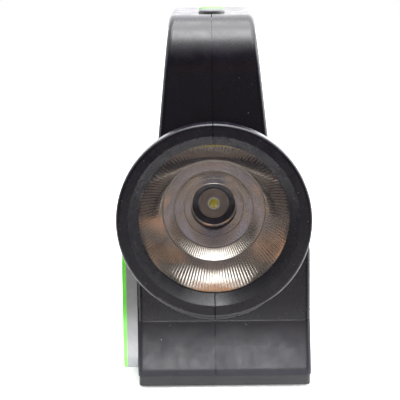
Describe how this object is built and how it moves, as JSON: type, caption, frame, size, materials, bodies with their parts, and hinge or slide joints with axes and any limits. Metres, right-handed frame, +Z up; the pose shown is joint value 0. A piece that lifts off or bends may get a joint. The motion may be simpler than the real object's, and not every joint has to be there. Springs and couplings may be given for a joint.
{
  "type": "hand-held signal searchlight",
  "caption": "Hand-held rechargeable signal searchlight with a deep front reflector, a lit side panel, a loop handle and push buttons on the grip.",
  "frame": {"origin": "on the base pad's resting face, in the joint plane of the two shells", "axes": "+Z up from the resting face, the beam points along -Y, +X towards the lamp's plain side wall"},
  "size_m": [0.1002, 0.1864, 0.1968],
  "materials": {
    "black_shell": "fine-textured black moulding, satin",
    "black_cover": "matt black moulding",
    "black_rubber": "matt rubber",
    "zinc_steel": "bright zinc-plated steel",
    "clear_lens": "clear polished polycarbonate",
    "mirror_coat": "vacuum-metallised mirror coat, finely fluted",
    "white_board": "white solder mask",
    "white_plastic": "white heat-proof plastic",
    "emitter_body": "clear silicone dome over yellow phosphor",
    "insulator": "pressed fibre",
    "sink_metal": "plain machined aluminium",
    "grey_frame": "light-grey satin moulding",
    "green_trim": "fluorescent green moulding",
    "frosted_lens": "prismatic clear polycarbonate",
    "source_body": "white light sources with yellow phosphor",
    "battery_case": "dark-grey battery case",
    "tab_metal": "tinned brass tabs",
    "foam": "black closed-cell foam",
    "green_board": "green solder mask",
    "components": "moulded components",
    "switch_case": "black switch bodies",
    "grey_button": "grey soft-touch button",
    "green_button": "green soft-touch button",
    "jack_plastic": "black socket",
    "indicator": "tinted light pipes",
    "red_lead": "red insulation",
    "white_lead": "white insulation",
    "black_lead": "black insulation"
  },
  "bodies": {
    "housing": {"right_shell": "black_shell", "left_shell": "black_shell", "base_cover": "black_cover", "base_pad": "black_rubber", "shell_screws": "zinc_steel", "base_screws": "zinc_steel", "side_frame_screws": "zinc_steel", "board_screws": "zinc_steel", "front_lens": "clear_lens", "lens_gasket": "black_rubber", "reflector": "mirror_coat", "front_led_board": "white_board", "led_holder": "white_plastic", "led_emitter": "emitter_body", "led_insulator": "insulator", "heat_sink": "sink_metal", "side_frame": "grey_frame", "side_trim": "green_trim", "side_lens": "frosted_lens", "side_led_board": "white_board", "side_reflector": "white_plastic", "side_leds": "source_body", "battery": "battery_case", "battery_terminals": "tab_metal", "battery_foam": "foam", "main_board": "green_board", "board_components": "components", "switch_board": "green_board", "switch_bodies": "switch_case", "charge_jack": "jack_plastic", "jack_door_pin": "zinc_steel", "charge_indicators": "indicator", "battery_leads": "red_lead", "front_leads": "black_lead", "side_leads": "white_lead", "switch_leads": "white_lead", "jack_leads": "black_lead"},
    "main_button": {"main_button": "grey_button", "main_plunger": "white_plastic"},
    "side_button": {"side_button": "green_button", "side_plunger": "white_plastic"},
    "jack_door": {"jack_door": "black_rubber"}
  },
  "joints": [
    {"name": "main_button_press", "type": "slide", "parent": "housing", "child": "main_button", "axis": [0, 0, -1], "range_m": [0, 0.001], "stiffness_N_per_m": 1500, "springref_m": -0.0006},
    {"name": "side_button_press", "type": "slide", "parent": "housing", "child": "side_button", "axis": [0, 0, -1], "range_m": [0, 0.001], "stiffness_N_per_m": 1500, "springref_m": -0.0006},
    {"name": "jack_door_hinge", "type": "hinge", "parent": "housing", "child": "jack_door", "pos_m": [0.012, 0.0806, 0.041], "axis": [1, 0, 0], "range_deg": [0, 100]}
  ]
}
